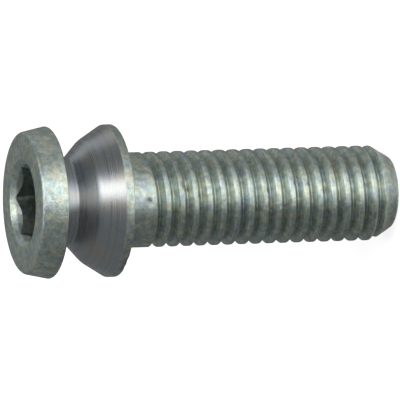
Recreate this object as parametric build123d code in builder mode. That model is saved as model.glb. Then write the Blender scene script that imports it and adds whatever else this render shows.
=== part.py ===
"""Cone-head shear bolt: one piece of steel, headed, turned and thread-rolled.  Millimetres.

The bolt stands on its threaded end with the drive head up.  The origin is the centre of
the seat, the underside of the flange that bears on the clamped part.  From there the
shank runs down to the tip, and the flange, cone, neck and drive disc rise.  A driver in
the hexagon socket tightens the bolt until the neck shears, and the disc comes away with
the socket, so that only the smooth cone is left.

The shank is the plain envelope of its thread, M10 coarse and right hand.
"""

import os
from math import cos, radians, tan

from build123d import *

# Shank below the seat, measured over the crests of its thread
crest_diameter = 9.85
shank_length = 30.0
tip_face_diameter = 7.4
tip_chamfer_length = 2.0

# Flange and cone
flange_diameter = 15.75
rim_thickness = 0.85
cone_height = 2.3
cone_half_angle = 32.0
shoulder_half_angle = 47.0

# Hexagon socket, which reaches down through the disc into the neck
socket_across_flats = 7.0
socket_depth = 4.6
socket_point_angle = 118.0
mouth_chamfer = 0.4

# Neck: the ring round the socket that shears
neck_wall = 0.46
neck_height = 2.05

# Drive disc, a little narrower at its face
disc_diameter = 15.75
disc_face_diameter = 14.6
disc_thickness = 2.65
disc_back_edge = 0.15

# Broken and rounded edges
seat_edge = 0.12
rim_edge_radius = 0.35
neck_fillet_radius = 0.2
face_edge_radius = 0.4

# Radii, and heights above the seat from the flange up
crest_radius = crest_diameter / 2
flange_radius = flange_diameter / 2
rim_top = rim_thickness
cone_top = rim_top + cone_height
cone_top_radius = flange_radius - cone_height * tan(radians(cone_half_angle))
socket_corner_radius = socket_across_flats / 2 / cos(radians(30))
neck_radius = socket_corner_radius + neck_wall
shoulder_height = (cone_top_radius - neck_radius) / tan(radians(shoulder_half_angle))
neck_bottom = cone_top + shoulder_height
disc_bottom = neck_bottom + neck_height
head_top = disc_bottom + disc_thickness

# Half outline of the blank, from the tip's centre up to the centre of the drive face
outline = [
    (0, -shank_length),
    (tip_face_diameter / 2, -shank_length),
    (crest_radius, tip_chamfer_length - shank_length),
    (crest_radius, 0),
    (flange_radius - seat_edge, 0),
    (flange_radius, seat_edge),
    (flange_radius, rim_top),
    (cone_top_radius, cone_top),
    (neck_radius, neck_bottom),
    (neck_radius, disc_bottom),
    (disc_diameter / 2 - disc_back_edge, disc_bottom),
    (disc_diameter / 2, disc_bottom + disc_back_edge),
    (disc_face_diameter / 2, head_top),
    (0, head_top),
]
corner_radii = [
    0,
    0,
    0,
    0,
    0,
    rim_edge_radius,
    0,
    neck_fillet_radius,
    neck_fillet_radius,
    0,
    0,
    face_edge_radius,
]

with BuildPart() as shear_bolt:
    # Blank
    with BuildSketch(Plane.XZ):
        with BuildLine():
            FilletPolyline(*outline, radius=corner_radii)
            Line(outline[-1], outline[0])
        make_face()
    revolve(axis=Axis.Z)

    # Hexagon socket, with two of its corners on the Y axis
    with BuildSketch(Plane.XY.offset(head_top)):
        RegularPolygon(socket_across_flats / 2, 6, major_radius=False, rotation=30)
    extrude(amount=-socket_depth, mode=Mode.SUBTRACT)

    # Drilled point of the socket's floor
    point_height = socket_across_flats / 2 / tan(radians(socket_point_angle / 2))
    with Locations((0, 0, head_top - socket_depth)):
        Cone(
            0,
            socket_across_flats / 2,
            point_height,
            align=(Align.CENTER, Align.CENTER, Align.MAX),
            mode=Mode.SUBTRACT,
        )

    # Countersunk mouth of the socket, at 45 degrees
    mouth_radius = socket_corner_radius + mouth_chamfer
    mouth_depth = mouth_radius - socket_across_flats / 2 + mouth_chamfer
    with Locations((0, 0, head_top)):
        Cone(
            mouth_radius - mouth_depth,
            mouth_radius,
            mouth_depth,
            align=(Align.CENTER, Align.CENTER, Align.MAX),
            mode=Mode.SUBTRACT,
        )

shear_bolt.part.label = "shear_bolt"

os.makedirs("parts", exist_ok=True)
export_step(shear_bolt.part, "parts/shear_bolt.step")
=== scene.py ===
"""Looks of the cone-head shear bolt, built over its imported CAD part.

The bolt stands on its threaded tip with the drive head up (+Z), and the origin is the
centre of the seat.  All sizes are in millimetres, and to_metres() converts them.

The photograph lies on its side, and its left is the bolt's top.  Its upper edge is the
studio's +X, which is the bolt's +X turned by VIEW_TURN towards +Y, and the camera stands on
the studio's -Y side.
"""

from math import atan2, ceil, cos, exp, hypot, pi, radians, sin, sqrt, tan

import bmesh
import bpy
from mathutils import Matrix, Vector


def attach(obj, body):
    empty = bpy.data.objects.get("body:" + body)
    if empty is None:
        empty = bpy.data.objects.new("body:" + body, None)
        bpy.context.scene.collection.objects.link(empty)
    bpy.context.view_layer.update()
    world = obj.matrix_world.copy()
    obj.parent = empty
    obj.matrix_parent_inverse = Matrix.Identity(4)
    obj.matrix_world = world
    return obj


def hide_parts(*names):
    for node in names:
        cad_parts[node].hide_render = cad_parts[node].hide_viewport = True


MM = 0.001

# Shank and thread: M10 coarse, right hand
CREST_R = 4.925
PITCH = 1.5
SHANK_LENGTH = 30.0
COLLAR_LENGTH = 3.435  # from the seat to the middle of the first full groove, on the +X side
TIP_FACE_R = 3.7
TIP_CHAMFER = 2.0
CREST_FLAT = 0.50
ROOT_FLAT = PITCH / 12
FLANK_SLOPE = tan(radians(30))
GROOVE_MOUTH = (PITCH - CREST_FLAT) / 2  # half the groove's width at the crests
THREAD_DEPTH = (GROOVE_MOUTH - ROOT_FLAT / 2) / FLANK_SLOPE
CREST_SOFTNESS = 0.06
ROOT_SOFTNESS = 0.25
CHAMFER_SOFTNESS = 0.08

# Flange, cone and neck
FLANGE_R = 7.875
RIM_HEIGHT = 0.85
CONE_HEIGHT = 2.3
CONE_HALF_ANGLE = 32
SHOULDER_HALF_ANGLE = 47
NECK_WALL = 0.46
NECK_HEIGHT = 2.05

# Drive disc and its socket
DISC_R = 7.875
DISC_FACE_R = 7.3
DISC_THICKNESS = 2.65
SOCKET_FLAT_R = 3.5
SOCKET_DEPTH = 4.6
SOCKET_POINT_ANGLE = 118
SOCKET_CORNER_ROUND = 0.3
MOUTH_CHAMFER = 0.4
MOUTH_LIP = 0.1

# Radii and heights that follow from these
SOCKET_CORNER_R = SOCKET_FLAT_R / cos(radians(30))
MOUTH_R = SOCKET_CORNER_R + MOUTH_CHAMFER
NECK_R = SOCKET_CORNER_R + NECK_WALL
CONE_TOP = RIM_HEIGHT + CONE_HEIGHT
CONE_TOP_R = FLANGE_R - CONE_HEIGHT * tan(radians(CONE_HALF_ANGLE))
NECK_BOTTOM = CONE_TOP + (CONE_TOP_R - NECK_R) / tan(radians(SHOULDER_HALF_ANGLE))
DISC_BOTTOM = NECK_BOTTOM + NECK_HEIGHT
HEAD_TOP = DISC_BOTTOM + DISC_THICKNESS
SOCKET_FLOOR = HEAD_TOP - SOCKET_DEPTH
SOCKET_POINT = SOCKET_FLOOR - SOCKET_FLAT_R / tan(radians(SOCKET_POINT_ANGLE / 2))

# Radii of the head's rounded edges
SEAT_EDGE = 0.12
RIM_EDGE = 0.35
CONE_EDGE = 3.0
NECK_FILLET = 0.2
DISC_BACK_EDGE = 0.15
DISC_FACE_EDGE = 0.4
MOUTH_EDGE = 0.06
FLOOR_FILLET = 0.1

# Mesh: steps round the bolt and along a rounded edge, and distances from an edge to the
# ring that keeps the surface beside it flat
TURN_STEPS = 144
EDGE_STEPS = 4
SEAT_INNER_RING = 0.35
SEAT_OUTER_RING = 0.6
TIP_RING = 0.25
WALL_RING = 0.3
POINT_START = (0.12, 0.02)  # in from the flats, and below the floor
POINT_END = (0.25, 0.12)  # off the axis, and above the drilled point

# Mesh across a groove: a step beyond the root's flat, places on the flank from the middle of
# the groove, steps beside the mouth, and a step beyond it on the crest
ROOT_STEP = 0.06
FLANK_PLACES = (0.27, 0.38)
MOUTH_STEPS = (-0.06, -0.02, 0, 0.02)
CREST_STEP = 0.06

# Mesh: vertices this close are merged, shorter edges go, and edges over this angle are sharp
MERGE_DISTANCE = 0.002
SHORTEST_EDGE = 0.001
SMOOTH_ANGLE = 38

# Nicks and dents that the photograph shows: height, turn in degrees, depth, and the half
# sizes along the axis and round it
DENTS = [
    (-2.50, -84.6, 0.16, 0.22, 0.34),
    (-6.29, -64.1, 0.20, 0.20, 0.32),
    (-6.70, -67.5, 0.14, 0.14, 0.30),
    (-7.92, -76.9, 0.22, 0.15, 0.46),
    (-15.41, -74.6, 0.22, 0.18, 0.32),
    (-18.43, -65.9, 0.22, 0.18, 0.28),
    (-19.83, -67.6, 0.18, 0.18, 0.28),
    (-21.51, -75.5, 0.22, 0.20, 0.34),
    (-25.89, -37.8, 0.16, 0.16, 0.22),
    (-26.03, -69.7, 0.20, 0.18, 0.28),
    (0.25, -135.0, 0.22, 0.35, 0.50),
    (0.15, -143.5, 0.16, 0.30, 0.40),
    (8.60, -101.0, 0.08, 0.45, 0.60),
]
DENT_REACH = 2.5  # in half sizes

# Dents leave out the neck, the socket and the place where the shank meets the seat
HEAD_DENTS_FROM_R = NECK_R + 1
SHANK_DENTS_BELOW = -0.6

# Where the bare steel of the cone and the neck begins and ends
BARE_BOTTOM = RIM_HEIGHT + 0.05
BARE_TOP = DISC_BOTTOM + 0.1
BARE_FROM_R = NECK_R - 0.1

# Zinc: share of the colour that the painted shade in the grooves and in the socket leaves, the
# radii over which each fades, and the heights over which the rolled finish of the thread begins
GROOVE_PAINTED_SHADE = 0.7
SOCKET_PAINTED_SHADE = 0.5
GROOVE_FADE = (CREST_R - 0.65, CREST_R - 0.3)
SOCKET_FADE = (SOCKET_CORNER_R + 0.05, SOCKET_CORNER_R - 0.15)
ROLLED_FADE = (-2.6, -3.2)
GRIME_COLOUR = (0.16, 0.11, 0.10)
GRIME_STRENGTH = 0.6

# Heights of the bumps, and where nearly all values of a noise lie
ZINC_BUMPS = 0.03
STEEL_BUMPS = 0.012
NOISE_MIDDLE = (0.3, 0.7)

# Colours, by the value of a noise
ZINC_TINTS = [
    (0.30, (0.58, 0.55, 0.63)),
    (0.40, (0.53, 0.64, 0.63)),
    (0.51, (0.59, 0.67, 0.61)),
    (0.61, (0.69, 0.73, 0.60)),
    (0.74, (0.68, 0.63, 0.58)),
]
STEEL_TINTS = [
    (0.32, (0.46, 0.52, 0.57)),
    (0.50, (0.54, 0.57, 0.59)),
    (0.66, (0.60, 0.58, 0.54)),
]

# Camera, from the notches and edges of the photograph's outline (400 by 400 pixels)
VIEW_TURN = 8.5  # brings the far corner of the socket to its place
VIEW_ELEVATION = 18.133
VIEW_ROLL = 1.764
VIEW_DISTANCE = 904.6
VIEW_FOCAL_PIXELS = 8751.0
AXIS_POINT_Z = -10.444
AXIS_POINT_PIXEL = (208.58, 197.57)
IMAGE_PIXELS = 400
SENSOR_WIDTH = 36

# Floor and world.  The glow brings the lit floor up to white where it is seen.
FLOOR_REACH = 600
FLOOR_GAP = 0.01
FLOOR_COLOUR = (0.8, 0.8, 0.8, 1)
FLOOR_GLOW = 0.84
WORLD_COLOUR = (0.17, 0.178, 0.178, 1)

# Lamps: name, azimuth from the camera's side towards +X, elevation, angular width and
# height, and radiance
LAMP_DISTANCE = 1200
LAMPS = [
    ("low_key", 17, 11, (38, 22), 2.1),
    ("mid_key", 24, 50, (24, 38), 2.4),
    ("crown_key", 48, 72, (20, 18), 1.8),
    ("top_key", 155, 76, (15, 44), 2.2),
    ("side_fill", 112, 12, (84, 24), 0.34),
    ("rim_fill", 50, 5, (40, 14), 0.45),
]

# Card on the floor: its shade and cover by azimuth, counted as for the lamps
CARD_REACH = (3.77, 590)
CARD_HEIGHT = 0.05
CARD_STEPS = 72
CARD_SHADE = [
    (-90, 0.24),
    (-16, 0.26),
    (-4, 0.5),
    (26, 0.6),
    (56, 0.48),
    (90, 0.44),
    (180, 0.32),
    (270, 0.24),
]
CARD_COVER = [(-90, 1), (-20, 1), (-3, 0), (22, 0), (56, 1), (270, 1)]
TIP_COVER = [(-90, 0.8), (-25, 0.8), (0, 0.5), (20, 0.5), (50, 0.72), (270, 0.8)]
TIP_ZONE = (7.0, 10.0)  # the tip's cover fades to the card's between these radii


def to_metres(points):
    return [(x * MM, y * MM, z * MM) for x, y, z in points]


def new_object(name, data):
    thing = bpy.data.objects.new(name, data)
    bpy.context.collection.objects.link(thing)
    return thing


def rounded(corners):
    """Points (r, z) of a polyline whose corners are (r, z, radius), each rounded by an arc."""
    points = []
    for k, (r, z, radius) in enumerate(corners):
        if not radius:
            points.append((r, z))
            continue
        corner = Vector((r, z))
        to_last = (Vector(corners[k - 1][:2]) - corner).normalized()
        to_next = (Vector(corners[k + 1][:2]) - corner).normalized()
        half_angle = to_last.angle(to_next) / 2
        reach = radius / tan(half_angle)
        centre = corner + (to_last + to_next).normalized() * radius / sin(half_angle)
        start = corner + to_last * reach - centre
        end = corner + to_next * reach - centre
        for i in range(EDGE_STEPS + 1):
            spoke = start.lerp(end, i / EDGE_STEPS).normalized() * radius
            points.append(tuple(centre + spoke))
    return points


def dents_at(turn, height, radius):
    """Depth of each dent that reaches a place, and the share of it there, from 0 to 1."""
    found = []
    for dent_height, dent_turn, depth, half_long, half_wide in DENTS:
        along = (height - dent_height) / half_long
        apart = (turn - radians(dent_turn) + pi) % (2 * pi) - pi
        around = apart * radius / half_wide
        if max(abs(along), abs(around)) < DENT_REACH:
            found.append((depth, exp(-along * along - around * around)))
    return found


def dent_depth(turn, height, radius):
    return sum(depth * share for depth, share in dents_at(turn, height, radius))


class Shell:
    """Vertices and faces that are collected ring by ring, then merged where they meet."""

    def __init__(self):
        self.points = []
        self.faces = []

    def ring(self, radii, heights):
        """Adds a ring, whose radii and heights are a number or a list with one for each step."""
        start = len(self.points)
        for k in range(TURN_STEPS):
            turn = 2 * pi * k / TURN_STEPS
            radius = radii[k] if isinstance(radii, list) else radii
            height = heights[k] if isinstance(heights, list) else heights
            if radius > HEAD_DENTS_FROM_R:
                radius -= dent_depth(turn, height, radius)
            self.points.append((radius * cos(turn), radius * sin(turn), height))
        return start

    def rings(self, rows):
        """Adds a ring for each row, joins each to the next, and gives where they start."""
        starts = [self.ring(radii, heights) for radii, heights in rows]
        for lower, upper in zip(starts, starts[1:]):
            for k in range(TURN_STEPS):
                after = (k + 1) % TURN_STEPS
                self.faces.append((lower + k, lower + after, upper + after, upper + k))
        return starts

    def close(self, ring, height, facing_up):
        """Closes a ring with a fan round a point on the axis."""
        centre = len(self.points)
        self.points.append((0, 0, height))
        for k in range(TURN_STEPS):
            after = (k + 1) % TURN_STEPS
            corners = (ring + k, ring + after) if facing_up else (ring + after, ring + k)
            self.faces.append((*corners, centre))

    def to_mesh(self, name):
        """The merged mesh, without tiny edges and loose points."""
        mesh = bpy.data.meshes.new(name)
        mesh.from_pydata(to_metres(self.points), [], self.faces)
        form = bmesh.new()
        form.from_mesh(mesh)
        bmesh.ops.remove_doubles(form, verts=form.verts, dist=MERGE_DISTANCE * MM)
        bmesh.ops.dissolve_degenerate(form, edges=form.edges, dist=SHORTEST_EDGE * MM)
        loose = [vertex for vertex in form.verts if not vertex.link_faces]
        bmesh.ops.delete(form, geom=loose, context="VERTS")
        form.to_mesh(mesh)
        form.free()
        return mesh


def socket_radius(turn):
    """Distance from the axis to the socket's wall, with two corners on the Y axis."""
    from_flat = (turn + pi / 6) % (pi / 3) - pi / 6
    from_corner = turn % (pi / 3) - pi / 6
    flat = SOCKET_FLAT_R / cos(from_flat)
    centre = (SOCKET_FLAT_R - SOCKET_CORNER_ROUND) / cos(pi / 6)
    inside = SOCKET_CORNER_ROUND**2 - (centre * sin(from_corner)) ** 2
    if inside < 0:
        return flat
    return min(flat, centre * cos(from_corner) + sqrt(inside))


def add_head(shell):
    """The seat, flange, cone, neck and disc, and the socket down to its drilled point."""
    mouth_r = MOUTH_R + MOUTH_LIP
    outline = [
        (CREST_R, 0, 0),
        (CREST_R + SEAT_INNER_RING, 0, 0),
        (FLANGE_R - SEAT_OUTER_RING, 0, 0),
        (FLANGE_R, 0, SEAT_EDGE),
        (FLANGE_R, RIM_HEIGHT, RIM_EDGE),
        (CONE_TOP_R, CONE_TOP, CONE_EDGE),
        (NECK_R, NECK_BOTTOM, NECK_FILLET),
        (NECK_R, DISC_BOTTOM, NECK_FILLET),
        (DISC_R, DISC_BOTTOM, DISC_BACK_EDGE),
        (DISC_FACE_R, HEAD_TOP, DISC_FACE_EDGE),
        (mouth_r, HEAD_TOP, MOUTH_EDGE),
        (mouth_r - MOUTH_CHAMFER, HEAD_TOP - MOUTH_CHAMFER, 0),
    ]
    # The last corner only gives the mouth's edge its direction
    rows = rounded(outline)[:-1]

    wall = [socket_radius(2 * pi * k / TURN_STEPS) for k in range(TURN_STEPS)]
    wall_top = [HEAD_TOP - (MOUTH_R - radius) for radius in wall]
    rows.append((wall, wall_top))
    rows.append((wall, [height - WALL_RING for height in wall_top]))
    rows.append((wall, SOCKET_FLOOR + FLOOR_FILLET))
    rows.append(([radius - FLOOR_FILLET for radius in wall], SOCKET_FLOOR))
    rows.append((SOCKET_FLAT_R - POINT_START[0], SOCKET_FLOOR - POINT_START[1]))
    rows.append((POINT_END[0], SOCKET_POINT + POINT_END[1]))
    starts = shell.rings(rows)
    shell.close(starts[-1], SOCKET_POINT, True)


def add_tip_face(shell):
    rows = [(TIP_FACE_R - TIP_RING, -SHANK_LENGTH), (TIP_FACE_R, -SHANK_LENGTH)]
    starts = shell.rings(rows)
    shell.close(starts[0], -SHANK_LENGTH, False)


def thread_sections():
    """Places across one pitch, from crest to crest, that follow the groove's form."""
    root = ROOT_FLAT / 2
    half = [root, root + ROOT_STEP, *FLANK_PLACES]
    half += [GROOVE_MOUTH + step for step in MOUTH_STEPS]
    crest = [-PITCH / 2, -GROOVE_MOUTH - CREST_STEP]
    return sorted(crest + [-place for place in half] + half)


def groove_depth(across):
    """Depth of the full groove at a distance from its middle, with softened corners."""
    flank = (GROOVE_MOUTH - abs(across)) / FLANK_SLOPE
    rising = (flank + hypot(flank, CREST_SOFTNESS)) / 2
    over = rising - THREAD_DEPTH
    return rising - (over + hypot(over, ROOT_SOFTNESS)) / 2


def shank_radius(turn, across, height):
    """Radius of the shank: thread, run-out below the collar, and tip chamfer."""
    depth = groove_depth(across)
    if turn > pi:
        depth = 0
    elif turn > 0:
        depth = max(0, depth - THREAD_DEPTH * (1 - cos(turn)) / 2)
    radius = CREST_R - depth
    chamfer = TIP_FACE_R + (height + SHANK_LENGTH) * (CREST_R - TIP_FACE_R) / TIP_CHAMFER
    overlap = max(0, CHAMFER_SOFTNESS - abs(radius - chamfer))
    return min(radius, chamfer) - overlap**2 / (4 * CHAMFER_SOFTNESS)


def add_shank(shell):
    """One spiral strip from below the tip to above the seat, cut off level at both ends."""
    sections = thread_sections()
    first = -ceil((SHANK_LENGTH - COLLAR_LENGTH) / PITCH) - 1
    last = ceil(COLLAR_LENGTH / PITCH) + 1
    steps = (last - first) * TURN_STEPS
    start = len(shell.points)
    for i in range(steps + 1):
        turn = 2 * pi * (first + i / TURN_STEPS)
        for across in sections:
            height = -COLLAR_LENGTH + PITCH * turn / (2 * pi) + across
            height = min(0, max(-SHANK_LENGTH, height))
            radius = shank_radius(turn, across, height)
            if height < SHANK_DENTS_BELOW:
                radius -= dent_depth(turn, height, radius)
            shell.points.append((radius * cos(turn), radius * sin(turn), height))

    # Each place is joined to the next, and the last one to the first place one turn on.
    # Strips that the level cuts press flat get no faces.
    wide = len(sections)
    for i in range(steps):
        for j in range(wide):
            low = start + i * wide + j
            high = low + 1 if j + 1 < wide else start + (i + TURN_STEPS) * wide
            corners = (low, low + wide, high + wide, high)
            if max(corners) >= len(shell.points):
                continue
            heights = [shell.points[corner][2] for corner in corners]
            if max(heights) > min(heights):
                shell.faces.append(corners)


def mark_grime(mesh):
    """Marks how deep in a dent each vertex lies, for the colour of the zinc."""
    grime = mesh.attributes.new("grime", "FLOAT", "POINT")
    for vertex, mark in zip(mesh.vertices, grime.data):
        x, y, z = vertex.co / MM
        radius = hypot(x, y)
        if radius > TIP_FACE_R:
            shares = [share for _, share in dents_at(atan2(y, x), z, radius)]
            mark.value = min(1, sum(shares))


def build_bolt():
    shell = Shell()
    add_shank(shell)
    add_head(shell)
    add_tip_face(shell)
    mesh = shell.to_mesh("shear_bolt_looks")
    mark_grime(mesh)
    for face in mesh.polygons:
        face.use_smooth = True
    mesh.set_sharp_from_angle(angle=radians(SMOOTH_ANGLE))
    return new_object("bolt_looks", mesh)


class Nodes:
    """Short calls that build a material's node tree."""

    def __init__(self, name):
        self.material = bpy.data.materials.new(name)
        self.material.use_nodes = True
        self.tree = self.material.node_tree
        self.shader = self.tree.nodes["Principled BSDF"]

    def add(self, kind, out=0, inputs=(), **settings):
        """Adds a node, sets or links its inputs, and gives one of its outputs."""
        node = self.tree.nodes.new("ShaderNode" + kind)
        for key, value in settings.items():
            setattr(node, key, value)
        for key, value in dict(inputs).items():
            if isinstance(value, bpy.types.NodeSocket):
                self.tree.links.new(value, node.inputs[key])
            else:
                node.inputs[key].default_value = value
        return node.outputs[out]

    def place(self):
        """Object coordinates in millimetres."""
        where = self.add("TexCoord", "Object")
        return self.add("Mapping", 0, {"Vector": where, "Scale": (1 / MM, 1 / MM, 1 / MM)})

    def axis_distance(self, place):
        flat = self.add("VectorMath", 0, {0: place, 1: (1, 1, 0)}, operation="MULTIPLY")
        return self.add("VectorMath", "Value", {0: flat}, operation="LENGTH")

    def height(self, place):
        return self.add("SeparateXYZ", "Z", {0: place})

    def noise(self, vector, scale, detail, rough=0.5, distort=0.0):
        sockets = {
            "Vector": vector,
            "Scale": scale,
            "Detail": detail,
            "Roughness": rough,
            "Distortion": distort,
        }
        return self.add("TexNoise", "Fac", sockets)

    def ring_noise(self, place, scales, detail, rough):
        """Noise that stays the same round the axis, with its scales out from it and along it."""
        out = self.math("MULTIPLY", self.axis_distance(place), scales[0])
        up = self.math("MULTIPLY", self.height(place), scales[1])
        return self.noise(self.add("CombineXYZ", 0, {"X": out, "Z": up}), 1.0, detail, rough)

    def spread(self, value, low, high, to_low=0.0, to_high=1.0):
        """Maps low to to_low and high to to_high, and stops at both ends."""
        sockets = {"Value": value, 1: low, 2: high, 3: to_low, 4: to_high}
        return self.add("MapRange", 0, sockets)

    def vary(self, noise, to_low, to_high):
        return self.spread(noise, *NOISE_MIDDLE, to_low, to_high)

    def fade(self, share, start, end):
        """Goes from start to end as the share goes from 0 to 1."""
        return self.spread(share, 0.0, 1.0, start, end)

    def math(self, how, *values):
        return self.add("Math", 0, dict(enumerate(values)), operation=how)

    def product(self, first, *others):
        for other in others:
            first = self.math("MULTIPLY", first, other)
        return first

    def ramp(self, value, stops):
        node = self.tree.nodes.new("ShaderNodeValToRGB")
        self.tree.links.new(value, node.inputs[0])
        marks = node.color_ramp.elements
        while len(marks) < len(stops):
            marks.new(0.5)
        for mark, (where, colour) in zip(marks, stops):
            mark.position = where
            mark.color = (*colour, 1)
        return node.outputs[0]

    def mix(self, share, first, second, how="MIX"):
        """Mixes two colours.  The node's colour sockets are 6 and 7, and its colour output 2."""
        settings = {"data_type": "RGBA", "blend_type": how}
        return self.add("Mix", 2, {0: share, 6: first, 7: second}, **settings)

    def shaded(self, colour, shade):
        grey = self.add("CombineColor", 0, {0: shade, 1: shade, 2: shade})
        return self.mix(1.0, colour, grey, "MULTIPLY")

    def metal(self, colour, roughness, bumps, bump_height):
        """Finishes the material as bare metal, with bumps of a height in millimetres."""
        self.shader.inputs["Metallic"].default_value = 1.0
        self.tree.links.new(colour, self.shader.inputs["Base Color"])
        self.tree.links.new(roughness, self.shader.inputs["Roughness"])
        sockets = {"Height": bumps, "Distance": bump_height * MM, "Strength": 1.0}
        self.tree.links.new(self.add("Bump", 0, sockets), self.shader.inputs["Normal"])
        return self.material

    def surface(self, shader):
        """Finishes the material with another shader than the Principled one."""
        self.tree.nodes.remove(self.shader)
        self.tree.links.new(shader, self.tree.nodes["Material Output"].inputs["Surface"])
        return self.material


def zinc_plate():
    """Dull zinc over the drive disc, the flange's rim, the collar and the thread."""
    n = Nodes("zinc_plate")
    place = n.place()
    out = n.axis_distance(place)
    height = n.height(place)
    stains = n.noise(place, scale=0.9, detail=4, rough=0.55, distort=0.8)
    clouds = n.noise(place, scale=1.9, detail=4, rough=0.6)
    grain = n.noise(place, scale=6.0, detail=4, rough=0.6)
    gloss = n.noise(place, scale=2.2, detail=3, rough=0.6)
    waves = n.noise(place, scale=1.3, detail=2)
    rings = n.ring_noise(place, scales=(5.0, 7.0), detail=3, rough=0.6)

    # Clouds and specks all over, and the streaks that rolling leaves on the thread
    rolled = n.spread(height, *ROLLED_FADE)
    cloudy = n.vary(clouds, 0.73, 1.27)
    specks = n.vary(grain, 0.90, 1.09)
    streaks = n.fade(rolled, 1.0, n.vary(rings, 0.84, 1.16))

    # Painted shade: darker towards the roots of the thread's grooves, and inside the socket
    groove = n.fade(rolled, 1.0, n.spread(out, *GROOVE_FADE, GROOVE_PAINTED_SHADE, 1.0))
    # Painted shade inside the socket, on the head only
    in_head = n.math("GREATER_THAN", height, RIM_HEIGHT)
    in_socket = n.product(n.spread(out, *SOCKET_FADE), in_head)
    socket = n.fade(in_socket, 1.0, SOCKET_PAINTED_SHADE)

    # The grime in the dents lies over all that
    shade = n.product(cloudy, specks, streaks, groove, socket)
    stained = n.shaded(n.ramp(stains, ZINC_TINTS), shade)
    dents = n.product(n.add("Attribute", "Fac", attribute_name="grime"), GRIME_STRENGTH)
    colour = n.mix(dents, stained, (*GRIME_COLOUR, 1))
    return n.metal(colour, n.vary(gloss, 0.30, 0.46), n.math("ADD", grain, waves), ZINC_BUMPS)


def turned_steel():
    """Bare steel of the cone and the neck, with the fine rings of a lathe tool."""
    n = Nodes("turned_steel")
    place = n.place()
    patches = n.noise(place, scale=0.35, detail=4, rough=0.6, distort=0.4)
    rings = n.ring_noise(place, scales=(9.0, 9.0), detail=4, rough=0.7)
    colour = n.shaded(n.ramp(patches, STEEL_TINTS), n.vary(rings, 0.70, 1.10))
    return n.metal(colour, n.vary(rings, 0.22, 0.36), rings, STEEL_BUMPS)


def finish_bolt(bolt):
    """Zinc all over, apart from the cone and the neck."""
    bolt.data.materials.append(zinc_plate())
    bolt.data.materials.append(turned_steel())
    for face in bolt.data.polygons:
        x, y, z = face.center / MM
        if BARE_BOTTOM < z < BARE_TOP and hypot(x, y) > BARE_FROM_R:
            face.material_index = 1


def turned(direction):
    """A direction of the studio, in the bolt's frame."""
    return Matrix.Rotation(radians(VIEW_TURN), 3, "Z") @ Vector(direction)


def place_camera():
    elevation = radians(VIEW_ELEVATION)
    roll = radians(VIEW_ROLL)
    ahead = turned((0, cos(elevation), -sin(elevation)))
    right = turned((0, -sin(elevation), -cos(elevation)))
    up = turned((1, 0, 0))
    image_right = right * cos(roll) - up * sin(roll)
    image_up = right * sin(roll) + up * cos(roll)

    # The middle of the image, from the place where it shows a known point of the axis
    pixel = VIEW_DISTANCE / VIEW_FOCAL_PIXELS
    centre = Vector((0, 0, AXIS_POINT_Z))
    centre -= image_right * (AXIS_POINT_PIXEL[0] - IMAGE_PIXELS / 2) * pixel
    centre += image_up * (AXIS_POINT_PIXEL[1] - IMAGE_PIXELS / 2) * pixel

    data = bpy.data.cameras.new("camera")
    data.sensor_width = SENSOR_WIDTH
    data.lens = VIEW_FOCAL_PIXELS / IMAGE_PIXELS * data.sensor_width
    camera = new_object("camera", data)
    turn = Matrix((image_right, image_up, -ahead)).transposed().to_4x4()
    camera.matrix_world = Matrix.Translation((centre - ahead * VIEW_DISTANCE) * MM) @ turn
    bpy.context.scene.camera = camera


def add_floor():
    """A white floor that keeps the bolt's shadow."""
    r = FLOOR_REACH
    z = -SHANK_LENGTH - FLOOR_GAP
    corners = [(-r, -r, z), (r, -r, z), (r, r, z), (-r, r, z)]
    mesh = bpy.data.meshes.new("floor")
    mesh.from_pydata(to_metres(corners), [], [(0, 1, 2, 3)])
    floor = new_object("floor", mesh)

    n = Nodes("white_floor")
    matt = n.add("BsdfDiffuse", "BSDF", {"Color": FLOOR_COLOUR})
    glow = n.add("Emission", 0, {"Strength": FLOOR_GLOW})
    both = n.add("AddShader", 0, {0: matt, 1: glow})
    straight = n.add("LightPath", "Is Camera Ray")
    glossy = n.add("LightPath", "Is Glossy Ray")
    through = n.add("LightPath", "Is Transmission Ray")
    seen = n.math("MAXIMUM", n.math("MAXIMUM", straight, glossy), through)
    mesh.materials.append(n.surface(n.add("MixShader", 0, {0: seen, 1: matt, 2: both})))


def add_world():
    world = bpy.data.worlds.new("studio")
    bpy.context.scene.world = world
    world.use_nodes = True
    back = world.node_tree.nodes["Background"]
    back.inputs["Color"].default_value = WORLD_COLOUR
    back.inputs["Strength"].default_value = 1.0


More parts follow.
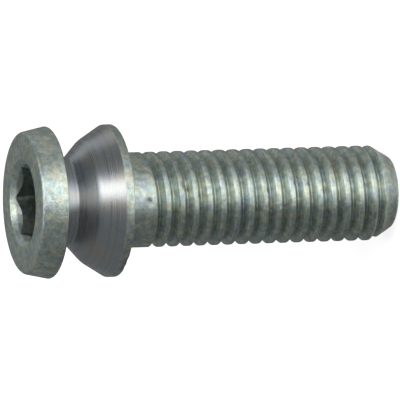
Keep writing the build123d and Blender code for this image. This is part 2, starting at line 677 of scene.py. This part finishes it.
def add_card():
    """A ring of card on the floor round the bolt, seen in its reflections only.

    It is open towards the camera, so that the white floor shows there, and it is dark on the
    studio's -X side and grey on the +X side.  Close to the tip it covers a part of the floor
    on every side.
    """
    points = []
    faces = []
    for k in range(CARD_STEPS):
        turn = 2 * pi * k / CARD_STEPS
        for reach in CARD_REACH:
            points.append((reach * cos(turn), reach * sin(turn), CARD_HEIGHT - SHANK_LENGTH))
        after = (k + 1) % CARD_STEPS
        faces.append((2 * k, 2 * k + 1, 2 * after + 1, 2 * after))
    mesh = bpy.data.meshes.new("card")
    mesh.from_pydata(to_metres(points), [], faces)
    card = new_object("card", mesh)
    card.matrix_world = Matrix.Rotation(radians(VIEW_TURN), 4, "Z")
    card.visible_camera = False
    card.visible_shadow = False

    n = Nodes("card")
    where = n.add("TexCoord", "Object")
    azimuth = n.add("TexGradient", "Fac", {"Vector": where}, gradient_type="RADIAL")

    def by_azimuth(marks):
        return n.ramp(azimuth, [((90 + turn) / 360, (v, v, v)) for turn, v in marks])

    by_tip = n.spread(n.axis_distance(n.place()), TIP_ZONE[1], TIP_ZONE[0])
    cover = n.mix(by_tip, by_azimuth(CARD_COVER), by_azimuth(TIP_COVER))
    matt = n.add("BsdfDiffuse", "BSDF", {"Color": by_azimuth(CARD_SHADE)})
    clear = n.add("BsdfTransparent", "BSDF")
    mesh.materials.append(n.surface(n.add("MixShader", 0, {0: cover, 1: clear, 2: matt})))


def add_lamp(name, azimuth, elevation, angles, radiance):
    """A soft box of a given angular width and height, as the bolt sees it."""
    turn = radians(azimuth)
    lift = radians(elevation)
    away = turned((cos(lift) * sin(turn), -cos(lift) * cos(turn), sin(lift)))
    across = turned((1, 0, 0))
    across = (across - away * across.dot(away)).normalized()
    width, height = (2 * LAMP_DISTANCE * MM * tan(radians(angle / 2)) for angle in angles)
    data = bpy.data.lights.new(name, "AREA")
    data.shape = "RECTANGLE"
    data.size = width
    data.size_y = height
    data.energy = radiance * pi * width * height
    lamp = new_object(name, data)
    basis = Matrix((across, away.cross(across), away)).transposed().to_4x4()
    lamp.matrix_world = Matrix.Translation(away * LAMP_DISTANCE * MM) @ basis


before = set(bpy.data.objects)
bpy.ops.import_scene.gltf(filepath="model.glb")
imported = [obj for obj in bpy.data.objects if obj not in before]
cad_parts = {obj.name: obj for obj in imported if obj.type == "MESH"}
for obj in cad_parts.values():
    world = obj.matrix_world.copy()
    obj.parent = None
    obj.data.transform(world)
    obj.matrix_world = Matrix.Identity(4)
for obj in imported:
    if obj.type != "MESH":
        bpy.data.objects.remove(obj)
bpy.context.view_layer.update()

bolt = build_bolt()
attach(bolt, "root")
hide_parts("shear_bolt")
finish_bolt(bolt)

bpy.context.scene.view_settings.view_transform = "Standard"
add_floor()
add_world()
add_card()
for lamp in LAMPS:
    add_lamp(*lamp)
place_camera()
